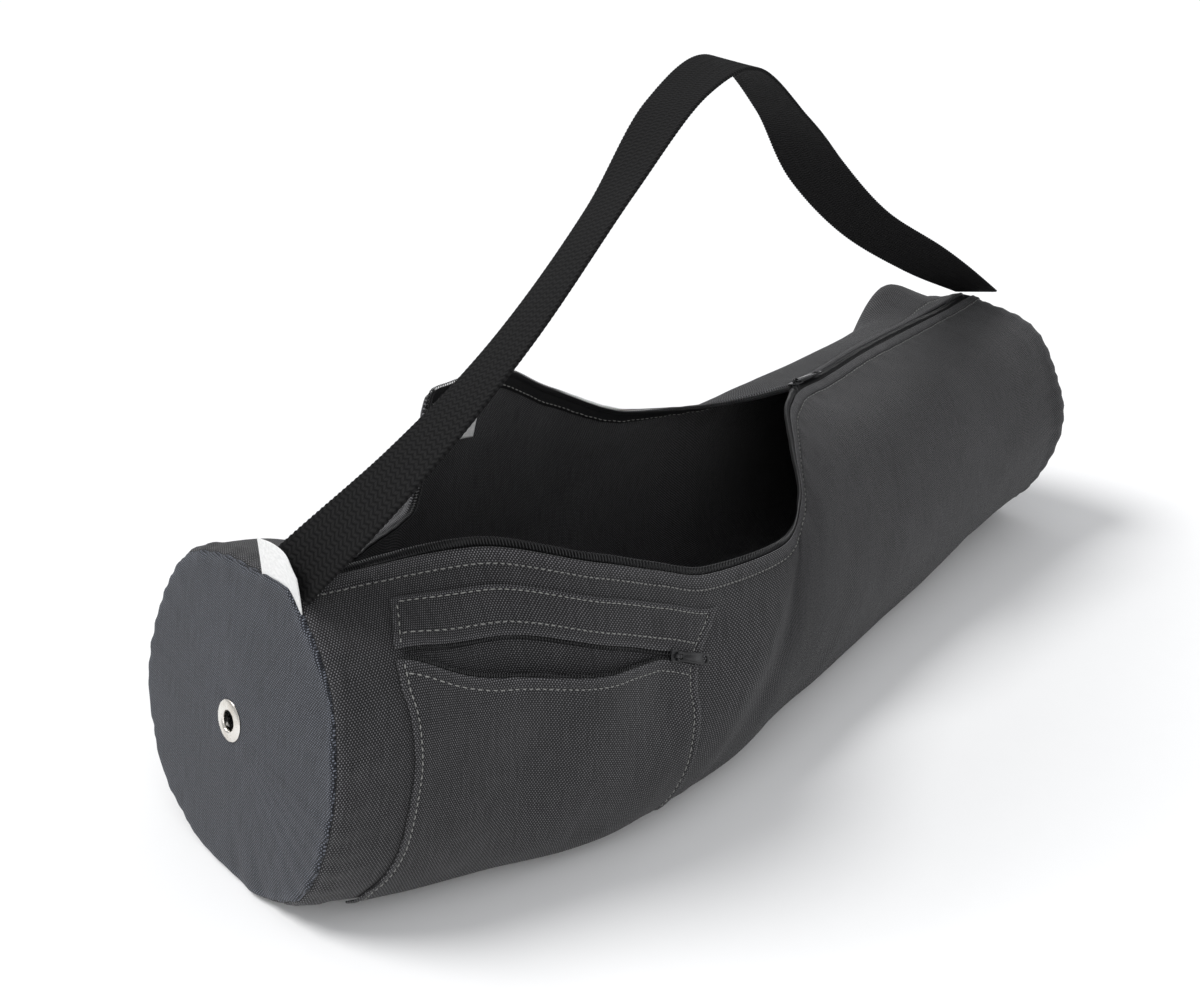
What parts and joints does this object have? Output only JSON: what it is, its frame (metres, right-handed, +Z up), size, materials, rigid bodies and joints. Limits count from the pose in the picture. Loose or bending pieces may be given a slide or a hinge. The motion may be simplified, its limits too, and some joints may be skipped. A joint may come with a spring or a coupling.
{
  "type": "yoga mat bag",
  "caption": "Long canvas shoulder bag for a rolled exercise mat, open along its zip, with a zipped front pocket, round end discs and a webbing strap.",
  "frame": {"origin": "centre of the bag's footprint box, on the surface it lies on", "axes": "+X from the end disc with the eyelet towards the closed end of the zip, -Y the side with the pocket, +Z up"},
  "size_m": [0.72, 0.2448, 0.3882],
  "materials": {
    "canvas": "heavy charcoal cotton canvas, coarse plain weave, matt",
    "webbing": "black polypropylene webbing, coarse weave, faint sheen",
    "zip_tape": "black woven zip tape",
    "zip_coil": "black nylon coil",
    "slider_enamel": "black enamel on cast zinc",
    "nickel": "bright nickel plate with a warm tint",
    "label_cloth": "white satin label, blank",
    "thread": "pale grey sewing thread"
  },
  "bodies": {
    "root": {"body_shell": "canvas", "end_disc_near": "canvas", "end_disc_far": "canvas", "eyelet": "nickel", "zip_tape_front": "zip_tape", "zip_tape_rear": "zip_tape", "zip_coil_front": "zip_coil", "zip_coil_rear": "zip_coil", "strap": "webbing", "pocket_band": "canvas", "pocket_panel": "canvas", "pocket_coil_upper": "zip_coil", "pocket_coil_lower": "zip_coil", "zip_slider": "slider_enamel", "pocket_slider": "slider_enamel", "seam_label": "label_cloth", "care_label": "label_cloth"},
    "zip_pull": {"zip_pull": "slider_enamel"},
    "pocket_pull": {"pocket_pull": "slider_enamel"}
  },
  "joints": [
    {"name": "zip_pull_hinge", "type": "hinge", "parent": "root", "child": "zip_pull", "pos_m": [0.09502, 0.00722, 0.16614], "axis": [-0.0585, -0.9578, 0.2815], "range_deg": [0, 170]},
    {"name": "pocket_pull_hinge", "type": "hinge", "parent": "root", "child": "pocket_pull", "pos_m": [-0.15158, -0.11212, 0.10061], "axis": [-0.4316, -0.3558, -0.8289], "range_deg": [0, 170]}
  ]
}
